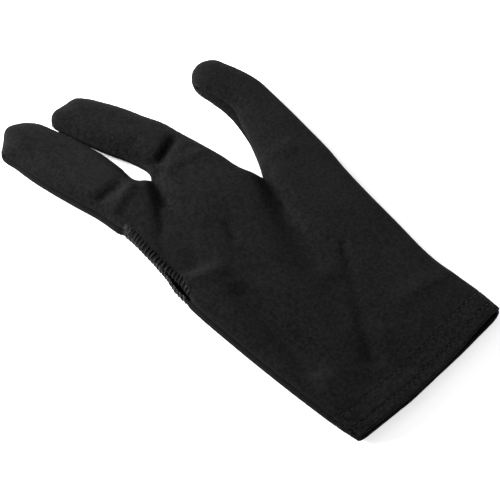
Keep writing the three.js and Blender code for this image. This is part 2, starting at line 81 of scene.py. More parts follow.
# u, strip width, upper edge inset, upper edge height, lower edge inset, lower edge height
MOUTH = [
    (5.3, 0, 0, 4.3, 0, 4.1), (5.55, 1.3, 1.3, 4.7, -0.4, 3.8), (6.05, 3.1, 1.8, 5.3, -0.8, 3.7),
    (6.7, 3.1, 0.3, 5.8, -0.8, 3.4), (7.4, 3.1, -2.1, 6.3, -1.1, 2.9), (8.2, 3.1, -2.6, 6.2, -1.1, 2.8),
    (9, 3.1, -1.1, 5.5, -0.3, 2.9), (9.6, 1.6, 0.4, 4.8, 0.1, 3.6), (9.85, 0, 0, 4.35, 0, 4.05),
]
# x, y, height the back is filled to
SITES = [
    (-45, -97, 7.7), (-10, -100, 7.4), (22, -102, 9.9), (-42, -60, 9.6), (-5, -60, 9.4), (30, -62, 9.8),
    (-35, -20, 10.4), (0, -20, 10.2), (40, -20, 11), (-25, 15, 10.4), (10, 15, 10.4), (50, 15, 11),
    (-18, 40, 10.4), (18, 40, 10.6), (-14, 60, 9.8), (-13, 90, 9), (-12, 115, 8.6), (18, 65, 9.6),
    (20, 90, 9), (18, 110, 8.6), (62, 30, 10.6), (72, 55, 9.8), (75, 75, 9.2),
]
# from x, y, to x, y, reach left and right, growth, depth at either end (negative stands up)
FOLDS = [
    (5, 57, -29, 12, 4.4, 4.2, 2.5, 4, 3.2), (35, 19, 4, -31, 3.6, 5.6, 2.4, 4.4, 2.2),
    (-2, -44, -9, -62, 9, 9, 1.2, 1.3, 0.4), (-29, -18, -41, -62, 6, 7.5, 1.3, 1.7, 3.2),
    (13, 59.5, 25, 62.5, 4, 4, 1, 2.4, 2), (-21, 64.5, -12, 64, 4.5, 4.5, 1, 1.8, 1.4),
    (-8, 59, -25, 54.5, 4, 4, 1, -0.9, -0.9), (12, 52.5, 26, 48, 4, 4, 1, -0.7, -0.5),
    (-38, 5, -25, -2, 6, 6, 1.1, -1.3, -1.4), (52, 18, 52, 18.5, 6.5, 6.5, 1, -1.1, -1.1),
    (10, -72, 36, -79, 6, 6, 1, -0.6, -0.6), (19, -35, -23, -80, 2.4, 2.4, 2.6, 0.7, 1.3),
]
# the same, for the smaller creases
CREASES = [
    (9.2, 66, 9.6, 67, 3.5, 3.5, 1, -0.8, -0.8), (-1, 11, -6, 3, 3.2, 3.2, 1, 0.9, 0.9),
    (24, 1, 25, -20, 2.6, 2.6, 1, 0.5, 0.3), (13.6, 75.8, 17, 77, 4, 4, 1, 0.6, 0.3),
    (-33, -86, -20, -90, 6, 6, 1, 0.6, 0.3), (-44, -20, -50, -60, 4, 4, 1, -0.5, -0.4),
]
CROTCH_Z = (3.2, 2.6)          # seam heights between middle and index, index and thumb
CENTRE = (14.193, 12.602)
TOP_ROUND, TOP_POWER, LOW_ROUND = 11.0, 2.2, 4.5
LOW_BULGE, BLEND = 1.1, 16.0
SIDE_RISE = 1.6                                    # how much higher the seam sits on the little-finger side, mm
OVERHANG = (1.6, .6, -20.0, 30.0)   # upper cuff edge past the lower one: left, right, from x to x
KNIT = 0.8                     # thickness of one layer as it shows
SEAM_GAP = 0.05                # half the slit between the sewn panels
SEAM_DIP = 0.42                # how far the sewn edges turn in
STITCH_ROWS = (4.5, 11.3)      # hem stitches, from the cuff edge
HEM_WIDTH = 12.0
HEM_PITCH = 3.0
HEM_REACH = 13.3                # where the turned-up layer ends, from the cuff edge
LOCK_PITCH = 2.3               # overlock stitches

ROW_LENGTH = [23.7, 20.7, 20.7, 19.8, 15.3, 10.8, 10.8, 10.8, 14.4]   # u = 1 to 10
PITCH = 1.0                    # size of the mesh's cells
SHARE_TOP = [0, .04, .08, .13, .19, .26, .34, .43, .52, .61, .70, .78, .85]
SHARE_LOW = [0, .05, .1, .17, .25, .34, .44, .55, .66, .77, .87, .95, 1]


# ------------------------------------------------------------ helpers
def arr(x):
    return np.array(x, float)


def smooth(t):
    t = np.clip(t, 0, 1)
    return t * t * (3 - 2 * t)


def roll(d, reach, power):
    return (1 - np.clip(1 - d / reach, 0, 1) ** power) ** (1 / power)


def curve(P, u):
    """Centripetal Catmull-Rom line through the points P, at u counted in points."""
    P = np.asarray(P, float)
    u = np.atleast_1d(np.asarray(u, float))
    n = len(P)
    k = np.clip(np.floor(u).astype(int), 0, n - 2)
    f = (u - k)[:, None]
    ext = np.vstack([2 * P[0] - P[1], P, 2 * P[-1] - P[-2]])
    p0, p1, p2, p3 = ext[k], ext[k + 1], ext[k + 2], ext[k + 3]
    step = lambda a, b: (np.maximum(((a - b) ** 2).sum(-1), 1e-12) ** 0.25)[:, None]
    d0, d1, d2 = step(p0, p1), step(p1, p2), step(p2, p3)
    t1 = ((p1 - p0) / d0 - (p2 - p0) / (d0 + d1) + (p2 - p1) / d1) * d1
    t2 = ((p2 - p1) / d1 - (p3 - p1) / (d1 + d2) + (p3 - p2) / d2) * d1
    return p1 + f * t1 + f * f * (-3 * p1 + 3 * p2 - 2 * t1 - t2) + f ** 3 * (2 * p1 - 2 * p2 + t1 + t2)


def swirl(x, y, seed):
    """Smooth seeded noise from -1 to 1 over a plane, one cell to a unit."""
    xi, yi = np.floor(x).astype(np.int64), np.floor(y).astype(np.int64)
    xf, yf = x - xi, y - yi

    def corner(i, j):
        h = ((i * 374761393 + j * 668265263 + seed * 974711) & 0xFFFFFFFF)
        h = ((h ^ (h >> 13)) * 1274126177) & 0xFFFFFFFF
        a = (h ^ (h >> 16)) / 4294967296.0 * 2 * math.pi
        return np.cos(a), np.sin(a)

    def part(i, j):
        gx, gy = corner(xi + i, yi + j)
        return gx * (xf - i) + gy * (yf - j)

    wx = xf ** 3 * (xf * (xf * 6 - 15) + 10)
    wy = yf ** 3 * (yf * (yf * 6 - 15) + 10)
    low = part(0, 0) * (1 - wx) + part(1, 0) * wx
    high = part(0, 1) * (1 - wx) + part(1, 1) * wx
    return 1.5 * (low * (1 - wy) + high * wy)


# ------------------------------------------------------------ sewn outline
H, K, M, MT, I, IT, TH, TT = (arr(t) for t in (HAND, KNUCKLE, MIDDLE, MIDDLE_TIP, INDEX, INDEX_TIP,
                                               THUMB, THUMB_TIP))
crotch_mi = np.r_[K[-1, 3:5], CROTCH_Z[0]]
crotch_it = np.r_[H[-1, 5:7], CROTCH_Z[1]]
OUT = {
    "M": np.vstack([H[:, 0:3], K[:, 0:3], M[:, 0:3], MT, M[::-1, 3:6], [crotch_mi]]),
    "I": np.vstack([[crotch_mi], I[:, 0:3], IT, I[::-1, 3:6], K[::-1, 5:8], [crotch_it]]),
    "T": np.vstack([[crotch_it], TH[:, 0:3], TT, TH[::-1, 3:6], H[::-1, 7:10]]),
}
LINE_MI = np.vstack([H[:, 3:5], K[:, 3:5]])
LINE_IT = H[:, 5:7]
MO = arr(MOUTH)


def edge_facts(name, u):
    """Upper and lower edge height, their insets, palm swell and how far it is sewn shut."""
    z = np.interp(u, np.arange(len(OUT[name])), OUT[name][:, 2])
    top, low, top_in, low_in, swell = z + .15, z - .15, 0 * u, 0 * u, 0 * u
    shut = 1 + 0 * u
    if name == "M":
        opened = (u > MO[0, 0]) & (u < MO[-1, 0])
        at = lambda c: np.interp(u, MO[:, 0], MO[:, c])
        top, low = np.where(opened, at(3), top), np.where(opened, at(5), low)
        top_in, low_in = np.where(opened, at(2), 0), np.where(opened, at(4), 0)
        shut = 1 - np.where(opened, smooth(np.minimum(u - MO[0, 0], MO[-1, 0] - u) / .3), 0)
        along = 1 - smooth((u - 15.5) / 2.5)
        swell = (LOW_BULGE + .35) * along * shut
        rise = SIDE_RISE * (.4 + .6 * smooth(u / 2)) * along
        top, low = top + rise, low + rise
    elif name == "T":
        swell = .5 * LOW_BULGE * smooth((u - 9) / 4) + np.interp(u, np.arange(9), np.r_[0, TH[:, 6], 0, 0])
    return top, low, top_in, low_in, swell, shut


def edge_table(n=16):
    out, run = [], 0.0
    for name in "MIT":
        P = OUT[name][:, :2]
        u = np.linspace(0, len(P) - 1, (len(P) - 1) * n + 1)
        p = curve(P, u)
        s = run + np.r_[0, np.cumsum(np.hypot(*np.diff(p, axis=0).T))]
        run = s[-1]
        e = np.stack(edge_facts(name, u) + (s,), 1)
        out.append(np.c_[p[:-1], p[1:], e[:-1], e[1:]])
    return np.vstack(out)


EDGES = edge_table()


def nearest(P):
    """Distance to the sewn outline, its facts there and the way out, for plan points."""
    flat = P.reshape(-1, 2)
    D, E, W = [], [], []
    a, ab = EDGES[:, 0:2], EDGES[:, 2:4] - EDGES[:, 0:2]
    ab2 = np.maximum((ab ** 2).sum(1), 1e-9)
    for i in range(0, len(flat), 3000):
        q = flat[i:i + 3000]
        t = np.clip(((q @ ab.T) - (a * ab).sum(1)) / ab2, 0, 1)
        dx = q[:, :1] - a[:, 0] - t * ab[:, 0]
        dy = q[:, 1:] - a[:, 1] - t * ab[:, 1]
        k = (dx * dx + dy * dy).argmin(1)
        r = np.arange(len(k))
        t = t[r, k][:, None]
        e = EDGES[k, 4:11] * (1 - t) + EDGES[k, 11:18] * t
        nrm = np.stack([-ab[k, 1], ab[k, 0]], 1)
        nrm /= np.linalg.norm(nrm, axis=1, keepdims=True)
        v = -np.stack([dx[r, k], dy[r, k]], 1)
        d = np.hypot(v[:, 0], v[:, 1])
        w = np.clip(d / .6, 0, 1)[:, None]
        out = nrm * (1 - w) + v / np.maximum(d, 1e-6)[:, None] * w
        out /= np.linalg.norm(out, axis=1, keepdims=True)
        D.append(d)
        E.append(e)
        W.append(out)
    shape = P.shape[:-1]
    return np.concatenate(D).reshape(shape), np.vstack(E).reshape(shape + (7,)), np.vstack(W).reshape(shape + (2,))


def crown(P):
    q = P.reshape(-1, 2)
    S = arr(SITES)
    w = np.exp(-((q[:, None] - S[None, :, :2]) ** 2).sum(-1) / (2 * BLEND ** 2)) + 1e-12
    C = (w * S[:, 2]).sum(1) / w.sum(1)
    for x0, y0, x1, y1, left, right, grow, d0, d1 in FOLDS + CREASES:
        ab = arr((x1 - x0, y1 - y0))
        L = np.hypot(*ab)
        rel = q - (x0, y0)
        t = np.clip((rel @ ab) / (L * L), 0, 1)
        v = rel - t[:, None] * ab
        side = (ab[0] * v[:, 1] - ab[1] * v[:, 0]) / L
        reach = (right + (left - right) * smooth(side / (left + right) + .5)) * (1 + (grow - 1) * t)
        C = C - (d0 + (d1 - d0) * t) * np.exp(-2 * (v ** 2).sum(1) / reach ** 2)
    return C.reshape(P.shape[:-1])


def plan(name, u, v):
    """Plan point of a strip at u along the hand and v across, arrays of one shape."""
    shape = u.shape
    u, v = u.ravel(), v.ravel()
    if name == "M":
        L = curve(OUT["M"][:, :2], u)
        R = np.where((u <= 10)[:, None], curve(LINE_MI, np.minimum(u, 10)), curve(OUT["M"][:, :2], 36 - np.maximum(u, 10)))
        arc, c0, c1, tip = (lambda w: curve(OUT["M"][:, :2], 16 + 4 * w)), 16, 20, 16.0
    elif name == "I":
        L = np.where((u <= 10)[:, None], curve(LINE_MI, np.minimum(u, 10)), curve(OUT["I"][:, :2], np.maximum(u, 10) - 10))
        R = np.where((u <= 7)[:, None], curve(LINE_IT, np.minimum(u, 7)), curve(OUT["I"][:, :2], 26 - np.maximum(u, 7)))
        arc, c0, c1, tip = (lambda w: curve(OUT["I"][:, :2], 6 + 4 * w)), 6, 10, 16.0
    else:
        L = np.where((u <= 7)[:, None], curve(LINE_IT, np.minimum(u, 7)), curve(OUT["T"][:, :2], np.maximum(u, 7) - 7))
        R = curve(OUT["T"][:, :2], 23 - u)
        arc, c0, c1, tip = (lambda w: curve(OUT["T"][:, :2], 6 + 4 * w)), 6, 10, 13.0
    P = L * (1 - v)[:, None] + R * v[:, None]
    w = smooth((u - (tip - 1.8)) / 1.8)[:, None]
    a = arc(v)
    a0, a1 = arc(arr([0.0]))[0], arc(arr([1.0]))[0]
    P = P + w * (a - (a0 * (1 - v)[:, None] + a1 * v[:, None]))
    return P.reshape(shape + (2,))


def skin(side, P, u, on_edge=None):
    """Outer surface over plan points: the back (side 1) or the palm (side -1)."""
    d, e, out = nearest(P)
    if on_edge is not None:
        d = np.where(on_edge, 0, d)
    top, low, top_in, low_in, swell, shut, s = (e[..., i] for i in range(7))
    pull = 1 - smooth(d / 14)
    x, y = P[..., 0], P[..., 1]
    ripple = np.sin(2 * math.pi * s / 3.7 + 2.2 * swirl(s / 9, 0 * s + .5, 5)) * (.6 + .4 * swirl(s / 6, 0 * s, 6))
    pucker = .10 * shut * np.exp(-d / 2.6) * ripple
    X = np.empty(P.shape[:-1] + (3,))
    if side > 0:
        r = roll(d, TOP_ROUND, TOP_POWER)
        C = crown(P) + r * (.22 * swirl(x / 15, y / 19, 1) + .10 * swirl(x / 6, y / 7, 2) + .035 * swirl(x / 2.3, y / 2.6, 3))
        lip = top - (.15 - SEAM_GAP) * shut
        z = lip + (np.maximum(C, top + 1) - lip) * r
        dip = SEAM_DIP * shut * np.exp(-((z - lip) / .42) ** 2)
        move = -top_in * pull - dip + pucker * np.exp(-((z - lip) / 2.5) ** 2)
        X[..., 2] = z + pucker * .8 * smooth((z - lip) / 1.5)
        X[..., 0] = x + out[..., 0] * move
        over = OVERHANG[0] + (OVERHANG[1] - OVERHANG[0]) * smooth((x - OVERHANG[2]) / (OVERHANG[3] - OVERHANG[2]))
        X[..., 1] = y + out[..., 1] * move - over * smooth(1 - u / 1.6) * r
    else:
        lift = roll(d, LOW_ROUND, 2)
        q = 1 - lift
        lip = low + (.15 - SEAM_GAP) * shut
        z = lip * q
        dip = SEAM_DIP * shut * np.exp(-((lip - z) / .42) ** 2)
        move = swell * 4 * q * (1 - q) - low_in * pull - dip + pucker * q
        wave = np.maximum(0, swirl(x / 12, y / 16, 8) + .25 * swirl(x / 5, y / 5, 9) - .1)
        X[..., 2] = z + .35 * wave * smooth((d - 2) / 6)
        X[..., 0] = x + out[..., 0] * move
        X[..., 1] = y + out[..., 1] * move
    return X, d


# ------------------------------------------------------------ mesh building
def vertex_normals(V, F):
    N = np.zeros_like(V)
    a, b, c, d = (V[F[:, i]] for i in range(4))
    n = np.cross(c - a, d - b)
    for i in range(4):
        np.add.at(N, F[:, i], n)
    return N / np.maximum(np.linalg.norm(N, axis=1, keepdims=True), 1e-12)


def open_edges(F):
    e = np.vstack([F[:, [0, 1]], F[:, [1, 2]], F[:, [2, 3]], F[:, [3, 0]]])
    e = e[e[:, 0] != e[:, 1]]
    n = int(e.max()) + 1
    key, back = e[:, 0] * n + e[:, 1], e[:, 1] * n + e[:, 0]
    return e[~np.isin(key, back)]


def close_sheet(V, F, thick, level, round_off, bulge=.42):
    """A closed sheet: inner face `thick` under the outer one, free rims rounded."""
    N = vertex_normals(V, F)
    N[level, 2] = 0
    N /= np.maximum(np.linalg.norm(N, axis=1, keepdims=True), 1e-12)
    n = len(V)
    inner = V - N * thick
    rim = open_edges(F)
    T = np.zeros_like(V)
    t = np.cross(V[rim[:, 1]] - V[rim[:, 0]], (N[rim[:, 0]] + N[rim[:, 1]]) / 2)
    np.add.at(T, rim[:, 0], t)
    np.add.at(T, rim[:, 1], t)
    T /= np.maximum(np.linalg.norm(T, axis=1, keepdims=True), 1e-12)
    T[level] = 0
    ids = np.unique(rim)
    mid = -np.ones(n, int)
    mid[ids] = 2 * n + np.arange(len(ids))
    middle = (V[ids] + inner[ids]) / 2 + T[ids] * thick * bulge * round_off[ids, None]
    a, b = rim[:, 0], rim[:, 1]
    faces = np.vstack([F, F[:, ::-1] + n, np.stack([b, a, mid[a], mid[b]], 1), np.stack([mid[b], mid[a], n + a, n + b], 1)])
    return np.vstack([V, inner, middle]), faces


def make_object(name, V, F, material, crease=50, attributes=None):
    me = bpy.data.meshes.new(name)
    P = V.copy()
    P[:, 0] -= CENTRE[0]
    P[:, 1] -= CENTRE[1]
    faces = []
    for f in F.tolist():
        g = [k for i, k in enumerate(f) if k != f[i - 1]]
        if len(set(g)) >= 3:
            faces.append(g)
    me.from_pydata((P / 1000).tolist(), [], faces)
    me.validate()
    me.update()
    for key, data in (attributes or {}).items():
        kind = "FLOAT_VECTOR" if data.ndim == 2 else "FLOAT"
        at = me.attributes.new(key, kind, "POINT")
        at.data.foreach_set("vector" if data.ndim == 2 else "value", data.astype(np.float32).ravel())
    me.shade_smooth()
    me.set_sharp_from_angle(angle=math.radians(crease))
    ob = bpy.data.objects.new(name, me)
    bpy.context.scene.collection.objects.link(ob)
    me.materials.append(material)
    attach(ob, "root")
    return ob


def seam_steps(side):
    """Plan distances from the seam at which the roll climbs in even steps."""
    if side > 0:
        return TOP_ROUND * (1 - (1 - arr(SHARE_TOP) ** TOP_POWER) ** (1 / TOP_POWER))
    return LOW_ROUND * (1 - np.sqrt(1 - arr(SHARE_LOW) ** 2))


def columns(name, us, side, pitch):
    """v for each row, the same count in each, packed by the two edges."""
    near = seam_steps(side)
    count = max(4, int(math.ceil((28 - 2 * near[-1]) / pitch)))
    ends = plan(name, np.repeat(us[:, None], 2, 1), np.repeat(arr([[0, 1]]), len(us), 0))
    rows = []
    for w in np.maximum(np.linalg.norm(ends[:, 1] - ends[:, 0], axis=1), 1.0):
        a = near * min(1.0, .42 * w / near[-1])
        rows.append(np.r_[a, np.linspace(a[-1], w - a[-1], count + 1)[1:-1], (w - a)[::-1]] / w)
    return arr(rows)


def row_places(name, side, pitch):
    tip, last = (13, 7) if name == "T" else (16, 10)
    start = 1 + (HEM_REACH - HEM_WIDTH + .03) / ROW_LENGTH[0]
    us = [start]
    for k in range(1, last):
        n = int(math.ceil(ROW_LENGTH[k - 1] / pitch))
        t = np.linspace(start - 1 if k == 1 else 0, 1, n + 1)[1:]
        us += list(k + t)
    end = tip - seam_steps(side)[::-1] / 9.3
    n = int(math.ceil((end[0] - last) * 11.8 / pitch))
    us += list(last + (np.arange(n) + 1) / n * (end[0] - last))
    return arr(us + list(end[1:]))


def build_panel(side, pitch):
    """One panel: a grid for each strip, sharing the lines between the strips."""
    V, F, held, flat, painted_shade_amount, free_rim, done = [], [], [], [], [], [], {}
    total = 0
    for name, before, turn in (("M", None, 0), ("I", "M", 10), ("T", "I", 7)):
        us = row_places(name, side, pitch)
        vs = columns(name, us, side, pitch)
        U = np.repeat(us[:, None], vs.shape[1], 1)
        shut = (us < MO[0, 0] + .01) | (us > MO[-1, 0] - .01) if name == "M" else us >= turn - 1e-9
        free = {"M": 10, "I": 7, "T": 0}[name]
        edge = np.zeros(U.shape, bool)
        edge[:, 0] = True if name == "M" else shut
        edge[:, -1] = us >= free - 1e-9
        edge[-1] = True
        level = edge.copy()
        level[:, 0] = shut
        X, _ = skin(side, plan(name, U, vs), U, edge)
        idx = total + np.arange(U.size).reshape(U.shape)
        s = np.zeros(U.shape)
        s[:, 1:] = np.cumsum(np.hypot(np.diff(X[..., 0], axis=1), np.diff(X[..., 2], axis=1)), 1)
        if before is None:
            mid = U.shape[1] // 2
            s += (X[:, mid, 0] - s[:, mid])[:, None]
        else:
            n = int((us <= turn + 1e-9).sum())
            idx[:n, 0] = done[before][0][:n, -1]
            start = np.empty(len(us))
            start[:n] = done[before][1][:n, -1]
            start[n:] = start[n - 1] + X[n:, 0, 0] - X[n - 1, 0, 0]
            s += start[:, None]
        t = np.repeat(X[:1, :, 1], len(us), 0)
        t[1:] += np.cumsum(np.hypot(np.diff(X[..., 1], axis=0), np.diff(X[..., 2], axis=0)), 0)
        done[name] = (idx, s)
        V.append(X.reshape(-1, 3))
        flat.append(np.stack([s, t, 0 * s], -1).reshape(-1, 3))
        held.append(level.ravel())
        ends = plan(name, U, 0 * U), plan(name, U, 0 * U + 1)
        inside = vs * np.linalg.norm(ends[1] - ends[0], axis=-1)
        band = np.interp(U, MO[:, 0], MO[:, 1]) if name == "M" else 0 * U
        # painted shade: the cloth is darkened under the overlock strip and along the sewn seam line, where shade falls
        lock_painted_shade = (.8 if side > 0 else .3) * smooth((band - inside) / .6)
        seam_painted_shade = (.75 if name == "M" else 0) * np.exp(-(inside / .6) ** 2) * (U > .3)
        painted_shade_amount.append(np.maximum(lock_painted_shade, seam_painted_shade).ravel())
        free_rim.append((U > us[0] + .02).astype(float).ravel())
        q = np.stack([idx[:-1, :-1], idx[:-1, 1:], idx[1:, 1:], idx[1:, :-1]], -1).reshape(-1, 4)
        F.append(q if side > 0 else q[:, ::-1])
        total += U.size
    V, F, held, flat = np.vstack(V), np.vstack(F), np.concatenate(held), np.vstack(flat)
    painted_shade_amount, free_rim = np.concatenate(painted_shade_amount), np.concatenate(free_rim)
    used = np.unique(F)
    new = -np.ones(len(V), int)
    new[used] = np.arange(len(used))
    return V[used], new[F], held[used], flat[used], painted_shade_amount[used], free_rim[used]


def widen(data, V, n, inner=1.0):
    """Repeats point data for the inner face, at a share of it, and zero for the rim of a closed sheet."""
    extra = len(V) - 2 * n
    return data if extra < 0 else np.concatenate([data, data * inner, np.zeros((extra,) + data.shape[1:])])


# ------------------------------------------------------------ places on the cloth

def on_skin(side, name, u, v, h):
    """Points h mm off the outer surface at (u, v); v under 0 is past the edge, in mm."""
    vv = np.maximum(v, 0)
    du, dv = .03, .012

    def X(a, b):
        return skin(side, plan(name, a, b), a)[0]

    P = X(u, vv)
    A = X(u + du, vv) - X(u - du, vv)
    B = X(u, vv + dv) - X(u, np.maximum(vv - dv, 0))
    N = np.cross(B, A) * side
    N /= np.linalg.norm(N, axis=-1, keepdims=True)
    B /= np.linalg.norm(B, axis=-1, keepdims=True)
    return P + N * h[..., None] + B * np.minimum(v, 0)[..., None], N


class Threads:
    """Strands gathered into one mesh."""

    def __init__(self):
        self.V, self.F, self.n = [], [], 0

    def strand(self, P, radius, sides=6):
        P = np.asarray(P, float)
        T = np.gradient(P, axis=0)
        T /= np.maximum(np.linalg.norm(T, axis=1, keepdims=True), 1e-9)
        ref = arr((0, 0, 1)) if abs(T[0, 2]) < .9 else arr((1, 0, 0))
        a = np.cross(T[0], ref)
        rings = []
        for k in range(len(P)):
            a = a - T[k] * (a @ T[k])
            a /= max(np.linalg.norm(a), 1e-9)
            b = np.cross(T[k], a)
            r = radius * (.45 if k in (0, len(P) - 1) else 1)
            ang = np.arange(sides) / sides * 2 * math.pi
            rings.append(P[k] + r * (np.cos(ang)[:, None] * a + np.sin(ang)[:, None] * b))
        V = np.vstack(rings + [P[:1], P[-1:]])
        m = len(P)
        k, j = np.meshgrid(np.arange(m - 1), np.arange(sides), indexing="ij")
        j2 = (j + 1) % sides
        F = np.stack([k * sides + j, k * sides + j2, (k + 1) * sides + j2, (k + 1) * sides + j], -1).reshape(-1, 4)
        c = np.arange(sides)
        c2 = (c + 1) % sides
        cap0 = np.stack([c2, c, np.full(sides, m * sides), np.full(sides, m * sides)], 1)
        e = (m - 1) * sides
        cap1 = np.stack([e + c, e + c2, np.full(sides, m * sides + 1), np.full(sides, m * sides + 1)], 1)
        self.V.append(V)
        self.F.append(np.vstack([F, cap0, cap1]) + self.n)
        self.n += len(V)

    def mesh(self):
        return np.vstack(self.V), np.vstack(self.F)


# ------------------------------------------------------------ materials
def material(name, low, high, knit=True, rough=.85, sheen=.0145, sheen_rough=.4, spec=.04, bump=1.0, painted_shade=False):
    m = bpy.data.materials.new(name)
    m.use_nodes = True
    nt = m.node_tree
    nt.nodes.clear()
    new, link = nt.nodes.new, nt.links.new

    def math_node(kind, a, b=None):
        n = new("ShaderNodeMath")
        n.operation = kind
        for i, x in enumerate((a, b)):
            if x is None:
                continue
            if isinstance(x, (int, float)):
                n.inputs[i].default_value = x
            else:
                link(x, n.inputs[i])
        return n.outputs[0]

    out = new("ShaderNodeOutputMaterial")
    bsdf = new("ShaderNodeBsdfPrincipled")
    link(bsdf.outputs[0], out.inputs[0])
    bsdf.inputs["Roughness"].default_value = rough
    bsdf.inputs["Specular IOR Level"].default_value = spec
    bsdf.inputs["Sheen Weight"].default_value = sheen
    bsdf.inputs["Sheen Roughness"].default_value = sheen_rough
    bsdf.inputs["Sheen Tint"].default_value = (.62, .64, .68, 1)
    coord = new("ShaderNodeTexCoord")
    cloud = new("ShaderNodeTexNoise")
    cloud.inputs["Scale"].default_value = 42
    cloud.inputs["Detail"].default_value = 3
    link(coord.outputs["Object"], cloud.inputs["Vector"])
    grain = new("ShaderNodeTexNoise")
    grain.inputs["Scale"].default_value = 740
    grain.inputs["Detail"].default_value = 3
    grain.inputs["Roughness"].default_value = .75
    link(coord.outputs["Object"], grain.inputs["Vector"])
    mix = math_node("ADD", math_node("MULTIPLY", cloud.outputs[0], .2), math_node("MULTIPLY", grain.outputs[0], .8))
    ramp = new("ShaderNodeValToRGB")
    ramp.color_ramp.elements[0].position = .42
    ramp.color_ramp.elements[0].color = low + (1,)
    ramp.color_ramp.elements[1].position = .61
    ramp.color_ramp.elements[1].color = high + (1,)
    link(mix, ramp.inputs[0])
    colour = ramp.outputs[0]
    height = math_node("MULTIPLY", grain.outputs[0], .5)
    if knit:
        at = new("ShaderNodeAttribute")
        at.attribute_name = "flat"
        sep = new("ShaderNodeSeparateXYZ")
        link(at.outputs["Vector"], sep.inputs[0])
        wale = math_node("MULTIPLY", sep.outputs[0], 1 / .62)
        course = math_node("MULTIPLY", sep.outputs[1], 1 / .50)
        leg = math_node("ABSOLUTE", math_node("SUBTRACT", math_node("FRACT", wale), .5))
        ridge = math_node("SINE", math_node("MULTIPLY", leg, 2 * math.pi))
        along = math_node("FRACT", math_node("ADD", course, math_node("MULTIPLY", leg, 1.5)))
        bead = math_node("SINE", math_node("MULTIPLY", along, math.pi))
        loop = math_node("MULTIPLY", ridge, math_node("POWER", bead, .6))
        height = math_node("ADD", math_node("MULTIPLY", loop, .8), height)
        # painted shade between the knit loops: the colour is darkened where the loops sink
        loop_painted_shade = new("ShaderNodeMix")
        loop_painted_shade.data_type = "RGBA"
        loop_painted_shade.blend_type = "MULTIPLY"
        link(math_node("MULTIPLY", math_node("SUBTRACT", 1, loop), .55), loop_painted_shade.inputs["Factor"])
        link(colour, loop_painted_shade.inputs["A"])
        loop_painted_shade.inputs["B"].default_value = (.35, .35, .36, 1)
        colour = loop_painted_shade.outputs["Result"]
    # painted shade: a point attribute darkens the colour towards near black where shade falls, in the sewn seam line,
    # under the overlock strands and in the hem's needle holes
    if painted_shade:
        painted_shade_input = new("ShaderNodeAttribute")
        painted_shade_input.attribute_name = "painted_shade"
        dark = new("ShaderNodeMix")
        dark.data_type = "RGBA"
        link(painted_shade_input.outputs["Fac"], dark.inputs["Factor"])
        link(colour, dark.inputs["A"])
        dark.inputs["B"].default_value = (.002, .002, .0022, 1)
        colour = dark.outputs["Result"]
    link(colour, bsdf.inputs["Base Color"])
    b = new("ShaderNodeBump")
    b.inputs["Strength"].default_value = bump
    b.inputs["Distance"].default_value = .00022
    link(height, b.inputs["Height"])
    link(b.outputs[0], bsdf.inputs["Normal"])
    return m


LOW, HIGH = (.0004, .0004, .00045), (.0079, .0078, .0083)
knit_back = material("knit_back", LOW, HIGH, painted_shade=True)
knit_palm = material("knit_palm", LOW, HIGH, painted_shade=True)
# painted light: the hem uses the same knit at 1.3 times the colour, so the cuff reads lighter
knit_hem_painted_lighter = material("knit_hem_painted_lighter", tuple(1.3 * c for c in LOW), tuple(1.3 * c for c in HIGH), painted_shade=True)
thread_lock = material("thread_lock", (.0016, .0016, .0017), (.0085, .0084, .0087), knit=False, rough=.5, sheen=.015, spec=.08, bump=.5)
# a lighter and warmer copy of the overlock thread; its extra lightness is painted highlight for the glints along the
# slit
thread_lock_palm_painted_glint = material("thread_lock_palm_painted_glint", (.0030, .0026, .0026), (.0170, .0150, .0148), knit=False, rough=.45, sheen=.02, spec=.14, bump=.5)
thread_hem = material("thread_hem", (.003, .003, .0032), (.013, .013, .014), knit=False, rough=.34, sheen=.03, spec=.22, bump=.3)

# ------------------------------------------------------------ panels
V, F, held, flat, painted_shade_amount, round_off = build_panel(1, PITCH)
n = len(V)
V2, F2 = close_sheet(V, F, KNIT, held, round_off)
back_cloth = make_object("back_cloth", V2, F2, knit_back, attributes={"flat": widen(flat, V2, n), "painted_shade": widen(painted_shade_amount, V2, n, 0.0)})
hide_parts("back_hand", "back_middle_finger", "back_index_finger", "back_thumb")

V, F, held, flat, painted_shade_amount, round_off = build_panel(-1, PITCH * 1.2)
n = len(V)
V2, F2 = close_sheet(V, F, KNIT, held, round_off)
palm_cloth = make_object("palm_cloth", V2, F2, knit_palm, attributes={"flat": widen(flat, V2, n), "painted_shade": widen(painted_shade_amount, V2, n, 0.0)})
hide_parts("palm_hand", "palm_middle_finger", "palm_index_finger", "palm_thumb")


# ------------------------------------------------------------ cuff hem
def ring_places(step):
    """Round the cuff: side, strip and v, in order, packed by the seams."""
    out = []
    for side in (1, -1):
        part = []
        for name in "MIT":
            w = 30.0
            near = seam_steps(side) / w
            ends = (name == "M", name == "T")
            a = near if ends[0] else arr([0.0])
            b = (1 - near[::-1]) if ends[1] else arr([1.0])
            n = int(math.ceil((b[0] - a[-1]) * w / step))
            v = np.r_[a, np.linspace(a[-1], b[0], n + 1)[1:-1], b]
            part += [(side, name, x) for x in (v if name == "M" else v[1:])]
        out += part if side > 0 else part[::-1]
    return out


ring = ring_places(.32)


def ring_skin(u):
    X = np.zeros((len(ring), 3))
    for side in (1, -1):
        for name in "MIT":
            k = [i for i, r in enumerate(ring) if r[0] == side and r[1] == name]
            v = arr([ring[i][2] for i in k])
            edge = arr([(name == "M" and x == 0) or (name == "T" and x == 1) for x in v]).astype(bool)
            uu = np.full(len(k), float(u))
            X[k] = skin(side, plan(name, uu, v), uu, edge)[0]
    return X


